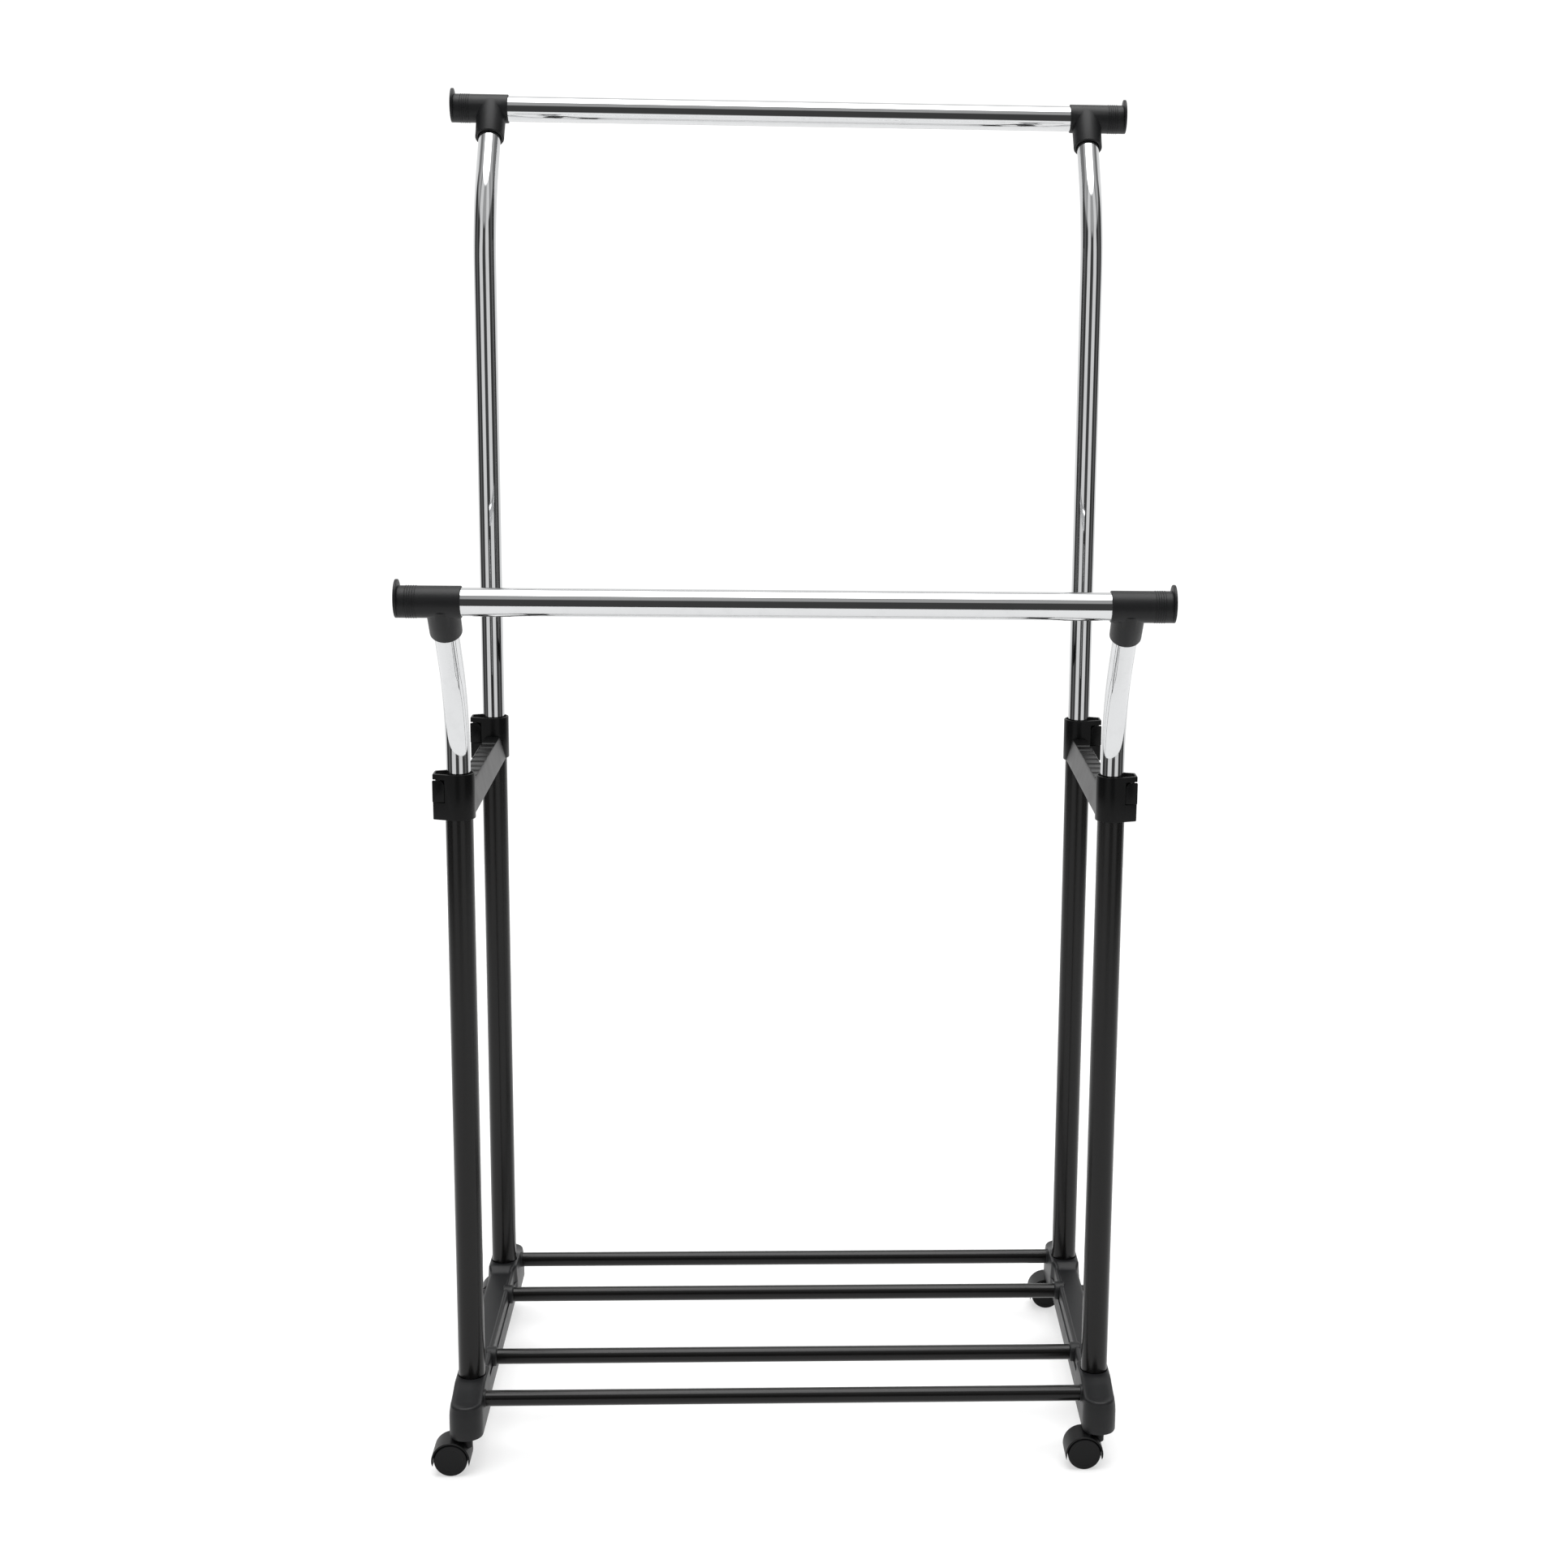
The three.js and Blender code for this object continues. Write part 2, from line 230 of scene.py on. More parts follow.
def moulded_plastic(name, colour, rough, shine, grain_depth):
    """Spark-textured moulding: fine even grain, a little cloudiness and faint lighter flecks."""
    shop = Shop(name)
    cloud = shop.noise(38, 3)
    grain = shop.noise(1500, 2, 0.6)
    coarse = shop.noise(620, 2, 0.5)
    tint = shop.blend(cloud, shade(colour, 0.84), shade(colour, 1.18))
    fleck = shop.ramp(grain, [(0.45, 0.0), (0.75, 1.0)])
    shop.set(Base_Color=shop.blend(fleck * 0.5, tint, shade(colour, 1.9)),
             Roughness=rough - 0.06 + 0.1 * cloud + 0.05 * grain,
             Specular_IOR_Level=shine,
             Normal=shop.bump(grain * 0.6 + coarse * 0.4, 0.55, grain_depth))
    return shop.material


def powder_coat(name, colour):
    """Satin black coat on steel: soft orange peel and a faint dust of grain."""
    shop = Shop(name)
    peel = shop.noise(260, 2, 0.45)
    cloud = shop.noise(9, 2)
    speck = shop.noise(1900, 1)
    shop.set(Base_Color=shop.blend(cloud, shade(colour, 0.8), shade(colour, 1.3)),
             Roughness=0.18 + 0.06 * cloud + 0.04 * speck,
             Specular_IOR_Level=0.26,
             Normal=shop.bump(peel * 0.7 + speck * 0.3, 0.4, 0.00004))
    return shop.material


def chrome_plate(name, colour):
    """Bright plate over drawn tube: near-mirror, with the tube's slight waviness and a few rubbed patches."""
    shop = Shop(name)
    wave = shop.noise(14, 2, 0.4)
    smear = shop.noise(55, 4, 0.6)
    haze = shop.ramp(smear, [(0.52, 0.0), (0.8, 1.0)])
    shop.set(Base_Color=shop.blend(haze, shade(colour, 1.0), shade(colour, 0.94)),
             Metallic=1.0,
             Roughness=0.035 + 0.05 * haze,
             Normal=shop.bump(wave, 0.25, 0.00008))
    return shop.material


def bright_steel(name):
    """Bright steel of the pins, stems and axles."""
    shop = Shop(name)
    grain = shop.noise(900, 2)
    shop.set(Base_Color=shop.blend(grain, (0.42, 0.43, 0.44, 1), (0.6, 0.61, 0.62, 1)),
             Metallic=1.0,
             Roughness=0.25 + 0.15 * grain)
    return shop.material


def pale_floor(name):
    """Seamless white paper, with a little light of its own."""
    shop = Shop(name)
    cloud = shop.noise(2.5, 2)
    shop.set(Base_Color=shop.blend(cloud, (0.40, 0.40, 0.40, 1), (0.42, 0.42, 0.42, 1)),
             Roughness=0.9,
             Emission_Color=(1, 1, 1, 1),
             Emission_Strength=0.56,
             Specular_IOR_Level=0.1)
    return shop.material


FINISHES = {}


def finish(name):
    """The material of that name, made on first use."""
    if name not in FINISHES:
        f = bpy.context.scene.rack_finishes
        make = {
            "charcoal_plastic": lambda: moulded_plastic(name, f.charcoal, 0.42, 0.22, 0.00016),
            "black_plastic": lambda: moulded_plastic(name, f.black, 0.30, 0.12, 0.00004),
            "caster_plastic": lambda: moulded_plastic(name, f.wheel, 0.42, 0.15, 0.00006),
            "black_coated_steel": lambda: powder_coat(name, f.coat),
            "chrome_tube": lambda: chrome_plate(name, f.chrome),
            "bright_steel": lambda: bright_steel(name),
            "floor": lambda: pale_floor(name),
        }
        FINISHES[name] = make[name]()
    return FINISHES[name]


# ---------------------------------------------------------------- mesh helpers (all in metres)
def mesh_object(name, shells):
    """One object from a list of closed (vertices, faces) shells, faces outwards."""
    bm = bmesh.new()
    for vertices, faces in shells:
        part = bmesh.new()
        made = [part.verts.new(v) for v in vertices]
        for face in faces:
            part.faces.new([made[i] for i in face])
        bmesh.ops.remove_doubles(part, verts=part.verts, dist=1e-7)
        bmesh.ops.recalc_face_normals(part, faces=part.faces)
        if part.calc_volume(signed=True) < 0:
            bmesh.ops.reverse_faces(part, faces=part.faces)
        half = bpy.data.meshes.new("shell")
        part.to_mesh(half)
        bm.from_mesh(half)
        bpy.data.meshes.remove(half)
        part.free()
    mesh = bpy.data.meshes.new(name)
    bm.to_mesh(mesh)
    bm.free()
    made = bpy.data.objects.new(name, mesh)
    bpy.context.scene.collection.objects.link(made)
    return made


def skin(rings):
    """Vertices of closed rings of equal counts, and the faces between one ring and the next."""
    m = len(rings[0])
    vertices = [tuple(p) for ring in rings for p in ring]
    faces = []
    for k in range(len(rings) - 1):
        for j in range(m):
            ahead = (j + 1) % m
            faces.append((k * m + j, k * m + ahead, (k + 1) * m + ahead, (k + 1) * m + j))
    return vertices, faces


def loft(rings):
    """Skin over rings of equal counts, capped at both ends."""
    n, m = len(rings), len(rings[0])
    vertices, faces = skin(rings)
    faces.append(tuple(range(m - 1, -1, -1)))
    faces.append(tuple((n - 1) * m + j for j in range(m)))
    return vertices, faces


def turned(profile, origin, axis, sides=72):
    """Profile of (radius, height) in mm turned about an axis; closed if both its ends are at radius 0."""
    axis = Vector(axis).normalized()
    turn = axis.to_track_quat("Z", "Y").to_matrix()
    origin = Vector(origin)
    vertices, faces, rows = [], [], []
    for r, h in profile:
        if r < 1e-6:
            rows.append([len(vertices)])
            vertices.append(origin + turn @ Vector((0, 0, h * MM)))
        else:
            rows.append(list(range(len(vertices), len(vertices) + sides)))
            for j in range(sides):
                a = 2 * math.pi * j / sides
                spot = Vector((r * MM * math.cos(a), r * MM * math.sin(a), h * MM))
                vertices.append(origin + turn @ spot)
    for low, high in zip(rows, rows[1:]):
        for j in range(sides):
            k = (j + 1) % sides
            if len(low) == 1 and len(high) == 1:
                continue
            if len(low) == 1:
                faces.append((low[0], high[k], high[j]))
            elif len(high) == 1:
                faces.append((low[j], low[k], high[0]))
            else:
                faces.append((low[j], low[k], high[k], high[j]))
    return vertices, faces


def rod_profile(radius, low, high):
    """Profile of a plain round bar, for turned()."""
    return [(0, low), (radius, low), (radius, high), (0, high)]


def rounded(profile, radius, steps=4):
    """The same profile with every corner between its ends eased by a short curve, mm."""
    out = [profile[0]]
    for before, corner, after in zip(profile, profile[1:], profile[2:]):
        a, b, c = (np.array(p, float) for p in (before, corner, after))
        u, v = a - b, c - b
        lu, lv = np.linalg.norm(u), np.linalg.norm(v)
        cut = min(radius, lu * 0.45, lv * 0.45)
        if corner[0] < 1e-6 or cut < 1e-3:
            out.append(corner)
            continue
        p, q = b + u / lu * cut, b + v / lv * cut
        for i in range(steps + 1):
            t = i / steps
            out.append(tuple((1 - t) ** 2 * p + 2 * t * (1 - t) * b + t * t * q))
    out.append(profile[-1])
    return out


def prism(outline, place, low, high, ease=0.5):
    """An outline in mm pushed from low to high, its end edges eased; place(u, v, w) gives each point."""
    outline = [np.array(p, float) for p in outline]
    n = len(outline)
    inward = []
    area = sum(a[0] * b[1] - b[0] * a[1] for a, b in zip(outline, outline[1:] + outline[:1]))
    turn = 1 if area > 0 else -1
    for i in range(n):
        a, b, c = outline[i - 1], outline[i], outline[(i + 1) % n]
        d1, d2 = (b - a) / np.linalg.norm(b - a), (c - b) / np.linalg.norm(c - b)
        n1, n2 = np.array([-d1[1], d1[0]]) * turn, np.array([-d2[1], d2[0]]) * turn
        inward.append((n1 + n2) / max(0.5, 1 + float(n1 @ n2)))
    part_way = ease * 0.3
    levels = ((low, ease), (low + part_way, part_way), (low + ease, 0),
              (high - ease, 0), (high - part_way, part_way), (high, ease))
    rings = []
    for w, inset in levels:
        rings.append([place(*(p + q * inset), w) for p, q in zip(outline, inward)])
    return loft(rings)


def arc(cx, cy, r, start, end, steps):
    """Points along an arc from start to end, in degrees."""
    turns = [math.radians(start + (end - start) * i / steps) for i in range(steps + 1)]
    return [(cx + r * math.cos(a), cy + r * math.sin(a)) for a in turns]


def cut(target, tools, operation="DIFFERENCE"):
    """Cuts or joins closed tool shells into target, one after the other, and leaves a plain mesh."""
    for shell in tools:
        tool = mesh_object("tool", [shell])
        modifier = target.modifiers.new("cut", "BOOLEAN")
        modifier.operation, modifier.solver, modifier.object = operation, "EXACT", tool
        bake(target)
        bpy.data.objects.remove(tool)


def bake(target):
    """Turns an object's live modifiers into plain mesh."""
    bpy.context.view_layer.update()
    mesh = bpy.data.meshes.new_from_object(target.evaluated_get(bpy.context.evaluated_depsgraph_get()))
    target.modifiers.clear()
    target.data = mesh


def settle(piece, body, slot, *nodes, angle=32, material=True):
    """Finishes a piece: smooth faces and crisp edges, its material, its body and the nodes it stands for."""
    if material:
        piece.data.materials.clear()
        piece.data.materials.append(finish(slot))
    piece.data.shade_smooth()
    piece.data.set_sharp_from_angle(angle=math.radians(angle))
    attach(piece, body)
    if nodes:
        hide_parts(*nodes)
    return piece


# ---------------------------------------------------------------- geometry-node trees
def new_tree(name, inputs):
    """An empty tree with those named inputs, and its input and output nodes."""
    tree = bpy.data.node_groups.new(name, "GeometryNodeTree")
    tree.is_modifier = True
    tree.interface.new_socket("Geometry", in_out="INPUT", socket_type="NodeSocketGeometry")
    for label, kind in inputs:
        tree.interface.new_socket(label, in_out="INPUT", socket_type=kind)
    tree.interface.new_socket("Geometry", in_out="OUTPUT", socket_type="NodeSocketGeometry")
    return tree, tree.nodes.new("NodeGroupInput"), tree.nodes.new("NodeGroupOutput")


def chain(tree, *links):
    """Adds the links, each from an output to an input."""
    for source, target in links:
        tree.links.new(source, target)


def hollow_sweep(tree, path, given):
    """Nodes for a hollow tube with flat ends swept along a curve; returns the tube's output."""
    n = tree.nodes.new
    inside = n("ShaderNodeMath")
    inside.operation = "SUBTRACT"
    chain(tree, (given.outputs["Radius"], inside.inputs[0]), (given.outputs["Wall"], inside.inputs[1]))
    swept = []
    for radius in (given.outputs["Radius"], inside.outputs[0]):
        ring, sweep = n("GeometryNodeCurvePrimitiveCircle"), n("GeometryNodeCurveToMesh")
        sweep.inputs["Fill Caps"].default_value = True
        chain(tree, (given.outputs["Sides"], ring.inputs["Resolution"]), (radius, ring.inputs["Radius"]),
              (path, sweep.inputs["Curve"]), (ring.outputs["Curve"], sweep.inputs["Profile Curve"]))
        swept.append(sweep.outputs["Mesh"])
    bore = n("GeometryNodeMeshBoolean")
    bore.operation, bore.solver = "DIFFERENCE", "EXACT"
    chain(tree, (swept[0], bore.inputs["Mesh 1"]), (swept[1], bore.inputs["Mesh 2"]))
    return bore.outputs["Mesh"]


def coated(tree, geometry, given, result):
    """Ends a tree: instances made real, then the finish."""
    real, coat = tree.nodes.new("GeometryNodeRealizeInstances"), tree.nodes.new("GeometryNodeSetMaterial")
    chain(tree, (geometry, real.inputs["Geometry"]), (real.outputs["Geometry"], coat.inputs["Geometry"]),
          (given.outputs["Finish"], coat.inputs["Material"]),
          (coat.outputs["Geometry"], result.inputs["Geometry"]))
    return tree


TUBE_INPUTS = [("Radius", "NodeSocketFloat"), ("Wall", "NodeSocketFloat"),
               ("Sides", "NodeSocketInt"), ("Finish", "NodeSocketMaterial")]


def tube_along_path():
    """A round hollow tube swept along a path of edges."""
    tree, given, result = new_tree("tube_along_path", TUBE_INPUTS)
    path = tree.nodes.new("GeometryNodeMeshToCurve")
    chain(tree, (given.outputs["Geometry"], path.inputs["Mesh"]))
    return coated(tree, hollow_sweep(tree, path.outputs["Curve"], given), given, result)


def tubes_on_points():
    """The same straight hollow tube repeated at every point of the input."""
    ends = [("Start", "NodeSocketVector"), ("End", "NodeSocketVector")]
    tree, given, result = new_tree("tubes_on_points", ends + TUBE_INPUTS)
    line = tree.nodes.new("GeometryNodeCurvePrimitiveLine")
    spread = tree.nodes.new("GeometryNodeInstanceOnPoints")
    chain(tree, (given.outputs["Start"], line.inputs["Start"]), (given.outputs["End"], line.inputs["End"]))
    tube = hollow_sweep(tree, line.outputs["Curve"], given)
    chain(tree, (given.outputs["Geometry"], spread.inputs["Points"]), (tube, spread.inputs["Instance"]))
    return coated(tree, spread.outputs["Instances"], given, result)


def rings_on_points():
    """A fine ring about X repeated at every point of the input: the grip ribs of a sleeve."""
    tree, given, result = new_tree("rings_on_points", [
        ("Ring Radius", "NodeSocketFloat"), ("Wire Radius", "NodeSocketFloat"),
        ("Sides", "NodeSocketInt"), ("Finish", "NodeSocketMaterial")])
    n = tree.nodes.new
    big, wire = n("GeometryNodeCurvePrimitiveCircle"), n("GeometryNodeCurvePrimitiveCircle")
    turn = n("GeometryNodeTransform")
    sweep, spread = n("GeometryNodeCurveToMesh"), n("GeometryNodeInstanceOnPoints")
    turn.inputs["Rotation"].default_value = (0, math.pi / 2, 0)
    wire.inputs["Resolution"].default_value = 8
    chain(tree,
          (given.outputs["Sides"], big.inputs["Resolution"]),
          (given.outputs["Ring Radius"], big.inputs["Radius"]),
          (given.outputs["Wire Radius"], wire.inputs["Radius"]),
          (big.outputs["Curve"], turn.inputs["Geometry"]),
          (turn.outputs["Geometry"], sweep.inputs["Curve"]),
          (wire.outputs["Curve"], sweep.inputs["Profile Curve"]),
          (given.outputs["Geometry"], spread.inputs["Points"]),
          (sweep.outputs["Mesh"], spread.inputs["Instance"]))
    return coated(tree, spread.outputs["Instances"], given, result)


TREES = {}


def grown(name, tree_maker, points, edges, **inputs):
    """A plain mesh grown by a geometry-node tree from points and edges."""
    if tree_maker not in TREES:
        TREES[tree_maker] = tree_maker()
    tree = TREES[tree_maker]
    mesh = bpy.data.meshes.new(name)
    mesh.from_pydata([tuple(p) for p in points], edges, [])
    made = bpy.data.objects.new(name, mesh)
    bpy.context.scene.collection.objects.link(made)
    modifier = made.modifiers.new("grow", "NODES")
    modifier.node_group = tree
    for item in tree.interface.items_tree:
        key = item.name.replace(" ", "_")
        if item.in_out == "INPUT" and key in inputs:
            modifier[item.identifier] = inputs[key]
    bake(made)
    bm = bmesh.new()
    bm.from_mesh(made.data)
    bmesh.ops.remove_doubles(bm, verts=bm.verts, dist=1e-7)
    bmesh.ops.recalc_face_normals(bm, faces=bm.faces)
    bm.to_mesh(made.data)
    bm.free()
    return made


# ---------------------------------------------------------------- tubes
class RACK_OT_lower_tubes(bpy.types.Operator):
    """Four black lower tubes standing in the base rails"""
    bl_idname = "rack.lower_tubes"
    bl_label = "Lower tubes"

    def execute(self, context):
        s = context.scene.rack_sizes
        low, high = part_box("lower_tube_front_left")
        points = [(sx * LEG_X, sy * LEG_Y, 0) for _, sx, sy in CORNERS]
        piece = grown("lower_tubes", tubes_on_points, points, [],
                      Start=(0, 0, low[2]), End=(0, 0, high[2]),
                      Radius=s.lower_diameter / 2, Wall=LOWER_WALL, Sides=s.tube_sides,
                      Finish=finish("black_coated_steel"))
        names = ["lower_tube_" + c for c, _, _ in CORNERS]
        settle(piece, "stand", "black_coated_steel", *names, material=False)
        return {"FINISHED"}


class RACK_OT_shelf_rods(bpy.types.Operator):
    """Four shelf rods across between the base rails"""
    bl_idname = "rack.shelf_rods"
    bl_label = "Shelf rods"

    def execute(self, context):
        s = context.scene.rack_sizes
        names = ["shelf_rod_%d" % i for i in range(1, 5)]
        low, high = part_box(names[0])
        points = [(0, centre(n).y, centre(n).z) for n in names]
        piece = grown("shelf_rods", tubes_on_points, points, [],
                      Start=(low[0], 0, 0), End=(high[0], 0, 0),
                      Radius=s.rod_diameter / 2, Wall=ROD_WALL, Sides=s.tube_sides // 2,
                      Finish=finish("black_coated_steel"))
        settle(piece, "stand", "black_coated_steel", *names, material=False)
        return {"FINISHED"}


def chrome_tube(name, points, diameter, sides):
    """A hollow chrome tube through the points."""
    edges = [(i, i + 1) for i in range(len(points) - 1)]
    return grown(name, tube_along_path, points, edges,
                 Radius=diameter / 2, Wall=CHROME_WALL, Sides=sides, Finish=finish("chrome_tube"))


class RACK_OT_hanging_rails(bpy.types.Operator):
    """Two chrome hanging rails"""
    bl_idname = "rack.hanging_rails"
    bl_label = "Hanging rails"

    def execute(self, context):
        s = context.scene.rack_sizes
        for e, sy in ENDS:
            node = "hanging_rail_" + e
            low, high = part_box(node)
            points = [(x, sy * RAIL_Y, RAIL_Z[e]) for x in np.linspace(low[0], high[0], 30)]
            piece = chrome_tube("rail_" + e, points, s.rail_diameter, s.tube_sides)
            settle(piece, e + "_frame", "chrome_tube", node, material=False)
        return {"FINISHED"}


def upright_path(sx, sy, e, radius):
    """Centre line of a bent upright, from its lower end to inside its T connector."""
    bend_z = RAIL_Z[e] - BEND_DROP
    path = [(0.0, z) for z in np.linspace(bend_z - STRAIGHT, bend_z, 24)]
    for i in range(1, 33):
        t = LEAN * i / 32
        path.append((radius * (1 - math.cos(t)), bend_z + radius * math.sin(t)))
    y = RAIL_OUT - TEE_STOP * math.sin(LEAN)
    z = RAIL_Z[e] - TEE_STOP * math.cos(LEAN)
    y0, z0 = path[-1]
    path += [(y0 + (y - y0) * i / 8, z0 + (z - z0) * i / 8) for i in range(1, 9)]
    return [(sx * LEG_X, sy * (LEG_Y + p), q) for p, q in path]


class RACK_OT_uprights(bpy.types.Operator):
    """Four bent chrome uprights"""
    bl_idname = "rack.uprights"
    bl_label = "Uprights"

    def execute(self, context):
        s = context.scene.rack_sizes
        for c, sx, sy in CORNERS:
            e = c.split("_")[0]
            points = upright_path(sx, sy, e, s.bend_radius)
            piece = chrome_tube("chrome_upright_" + c, points, s.upright_diameter, s.tube_sides)
            settle(piece, e + "_frame", "chrome_tube", "upright_" + c, material=False)
        return {"FINISHED"}


# ---------------------------------------------------------------- T connectors (mm)
FLANGE_LIFT = 3.5   # of an end flange above the sleeve's middle
FIRST_RIB = 12      # from the sleeve's outer end
RIB_PITCH = 2.7


class RACK_OT_tee_connectors(bpy.types.Operator):
    """Four T connectors with end flanges and grip ribs"""
    bl_idname = "rack.tee_connectors"
    bl_label = "T connectors"

    def execute(self, context):
        s = context.scene.rack_sizes
        sleeve = s.sleeve_diameter / 2 / MM
        for e, sy in ENDS:
            ribs = []
            for side, sx in SIDES:
                node = "tee_" + e + "_" + side
                low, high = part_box(node)
                inner, outer = (low[0], high[0]) if sx > 0 else (high[0], low[0])
                y, z = sy * RAIL_Y, RAIL_Z[e]
                length = abs(outer - inner) / MM
                barrel = rounded([(0, 5), (16.2, 5), (16.2, 0), (sleeve, 0),
                                  (sleeve, length - 2), (0, length - 2)], 0.8)
                flange = rounded([(0, -4), (sleeve - 2, -4), (21.5, -3.1), (21.5, 0),
                                  (17.5, 0), (16.8, -0.5), (0, -0.5)], 0.7)
                leg = rounded([(0, 0), (18.9, 0), (18.5, 24), (18.2, 47),
                               (14.7, 47), (14.5, 41), (0, 41)], 0.7)
                along = (sx, 0, 0)
                down = (0, -sy * math.sin(LEAN), -math.cos(LEAN))
                name = "t_connector_" + e + "_" + side
                piece = mesh_object(name, [turned(barrel, (inner, y, z), along, 96)])
                cut(piece, [turned(leg, (sx * LEG_X, y, z), down, 96),
                            turned(flange, (outer, y, z + FLANGE_LIFT * MM), along, 96)], "UNION")
                settle(piece, e + "_frame", "charcoal_plastic", node)
                ribs += [(outer - sx * (FIRST_RIB + RIB_PITCH * i) * MM, y, z) for i in range(5)]
            piece = grown("grip_ribs_" + e, rings_on_points, ribs, [],
                          Ring_Radius=s.sleeve_diameter / 2, Wire_Radius=0.00045, Sides=96,
                          Finish=finish("charcoal_plastic"))
            settle(piece, e + "_frame", "charcoal_plastic", material=False, angle=80)
        return {"FINISHED"}


# ---------------------------------------------------------------- brackets and levers (mm)
PIVOT_X, PIVOT_Z = 22.5, 835.0          # a lever's hinge: out from its leg's middle, and up
PIN_REACH = 14.2                        # half a hinge pin's length
SLOT_LOW, SLOT_HIGH = 815.6, 842.8      # the opening a lever sits in
REST_PITCH = 27                         # from one shallow rest on the bar to the next
REST_REACH = 118                        # how far from its middle the bar has rests
COLLAR = ((0.0, 0.0, 19.0), (26.6, 9.1, 2.4), (26.6, -9.1, 2.4))
WELL = ((0.0, 0.0, 16.6), (23.4, 5.6, 3.0), (23.4, -5.6, 3.0))


def pear(inset, discs=COLLAR, count=120):
    """Outline round three discs of (x, y, radius): a collar narrowing to a flat ear, or the well in it."""
    out = []
    for i in range(count):
        a = 2 * math.pi * i / count
        nx, ny = math.cos(a), math.sin(a)
        x, y, r = max(discs, key=lambda d: d[0] * nx + d[1] * ny + d[2])
        out.append((x + (r - inset) * nx, y + (r - inset) * ny))
    return out


def box_shell(x0, x1, y0, y1, z0, z1):
    """A plain box as a closed shell."""
    corners = [(x, y, z) for x in (x0, x1) for y in (y0, y1) for z in (z0, z1)]
    return corners, [(0, 1, 3, 2), (4, 6, 7, 5), (0, 4, 5, 1), (2, 3, 7, 6), (0, 2, 6, 4), (1, 5, 7, 3)]


class RACK_OT_brackets(bpy.types.Operator):
    """Two brackets: a front and a back clamp collar with the stepped bar between them"""
    bl_idname = "rack.brackets"
    bl_label = "Brackets"

    def execute(self, context):
        for side, sx in SIDES:
            node = "bracket_" + side
            low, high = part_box(node)
            bottom, top = low[2] / MM, high[2] / MM

            def at(x, y, z):
                return Vector((sx * (LEG_X + x * MM), y * MM, z * MM))

            # the bar: a tapered section with shallow rests along its top
            rings = []
            edge = LEG_Y / MM - 14
            for y in np.linspace(-edge, edge, 317):
                phase = ((y + REST_PITCH / 2 + REST_PITCH * 6) % REST_PITCH) - REST_PITCH / 2
                dip = 1.2 * min(1.0, max(0.0, (7.0 - abs(phase)) / 0.6)) if abs(y) < REST_REACH else 0.0
                half = [(15.4, 0), (16, 0.6), (15.7, 3), (14.3, 9), (11.8, 20), (10.4, 26.5), (9.9, 28.6),
                        (9.3, 29.6), (8.5, 30), (8.3, 30 - dip), (0, 30 - dip)]
                full = half + [(-x, z) for x, z in reversed(half[:-1])]
                rings.append([at(x, y, bottom + z) for x, z in full])
            piece = mesh_object("clamp_bracket_" + side, [loft(rings)])
            for _, sy in ENDS:
                y0 = sy * LEG_Y / MM
                levels = [(bottom, 0.9), (bottom + 0.3, 0.3), (bottom + 0.9, 0.0),
                          (top - 0.9, 0.0), (top - 0.3, 0.3), (top, 0.9)]
                rings = [[at(x, y0 + y, z) for x, y in pear(inset)] for z, inset in levels]
                cut(piece, [loft(rings)], "UNION")
            for _, sy in ENDS:
                y0 = sy * LEG_Y / MM

                def hollow(x0, x1, ya, yb, z0, z1):
                    a, b = at(x0, y0 + ya, z0), at(x1, y0 + yb, z1)
                    return box_shell(*sorted((a.x, b.x)), *sorted((a.y, b.y)), *sorted((a.z, b.z)))

                tools = [
                    hollow(14.5, 31, 11.0, 22, SLOT_LOW, SLOT_HIGH),
                    hollow(14.5, 31, -22, -11.0, SLOT_LOW, SLOT_HIGH),
                    hollow(23.5, 31, -12, 12, SLOT_LOW, 835),
                    hollow(20.3, 31, -12, 12, 834.9, SLOT_HIGH),
                ]
                well = [(top - 4.5, 0.5), (top - 4.0, 0.2), (top - 0.6, 0.0), (top, -0.4), (top + 1.0, -0.8)]
                tools.append(loft([[at(x, y0 + y, z) for x, y in pear(inset, WELL)] for z, inset in well]))
                tools.append(turned(rod_profile(14.9, -1, 8), at(0, y0, top - 6), (0, 0, 1), 96))
                tools.append(turned(rod_profile(16.5, -1, 5), at(0, y0, bottom), (0, 0, 1), 96))
                cut(piece, tools)
                barrel = turned(rod_profile(3.6, -11, 11), at(PIVOT_X, y0, PIVOT_Z), (0, 1, 0), 32)
                cut(piece, [barrel], "UNION")
            settle(piece, "stand", "black_plastic", node)
        return {"FINISHED"}


